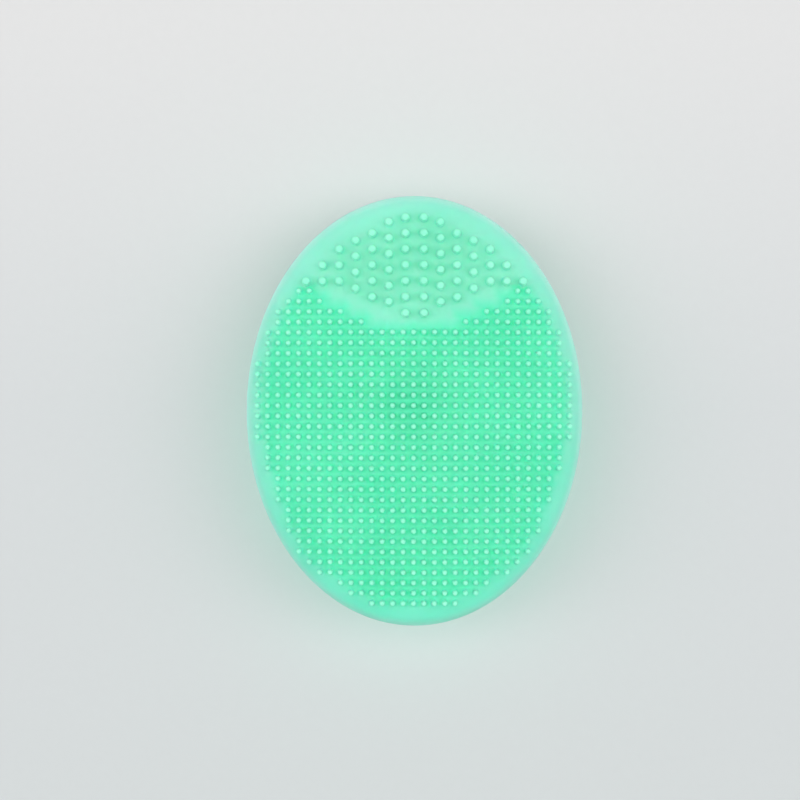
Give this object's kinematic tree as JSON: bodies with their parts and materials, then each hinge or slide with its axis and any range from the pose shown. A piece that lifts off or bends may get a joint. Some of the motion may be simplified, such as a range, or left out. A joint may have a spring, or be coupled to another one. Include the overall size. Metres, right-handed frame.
{
  "type": "facial cleansing brush",
  "caption": "Oval silicone face scrubbing pad with fine nubs and a lens of coarse nubs at one end, on a short flexing neck with a suction cup finger grip.",
  "frame": {"origin": "on the plane of the suction cup's lip, below the middle of the oval pad: the bottom centre of the bounding box", "axes": "+Z out of the scrubbing face, away from the cup; +Y along the pad's length, towards the coarse nubs; +X across the pad; the brush is the same on both sides of X = 0"},
  "size_m": [0.0508, 0.065, 0.028],
  "materials": {
    "silicone": "satin"
  },
  "bodies": {
    "cup": {"cup_lip": "silicone", "cup_bell": "silicone"},
    "crown": {"cup_crown": "silicone", "neck_lower_flex": "silicone"},
    "waist": {"neck_waist": "silicone"},
    "pad": {"neck_upper_flex": "silicone", "pad_hub": "silicone", "pad_shell": "silicone", "pad_skirt": "silicone", "fine_nub_field": "silicone", "coarse_nub_patch": "silicone"}
  },
  "joints": [
    {"name": "cup_press", "type": "slide", "parent": "cup", "child": "crown", "axis": [0, 0, -1], "range_m": [0, 0.0025], "stiffness_N_per_m": 300, "springref_m": -0.001, "deforming": ["cup_bell"]},
    {"name": "neck_rock_x", "type": "hinge", "parent": "crown", "child": "waist", "pos_m": [0, 0.001, 0.00955], "axis": [1, 0, 0], "range_deg": [-15, 15], "stiffness_Nm_per_rad": 0.08, "deforming": ["neck_lower_flex"]},
    {"name": "neck_rock_y", "type": "hinge", "parent": "waist", "child": "pad", "pos_m": [0, 0.001, 0.01465], "axis": [0, 1, 0], "range_deg": [-15, 15], "stiffness_Nm_per_rad": 0.08, "deforming": ["neck_upper_flex"]}
  ]
}
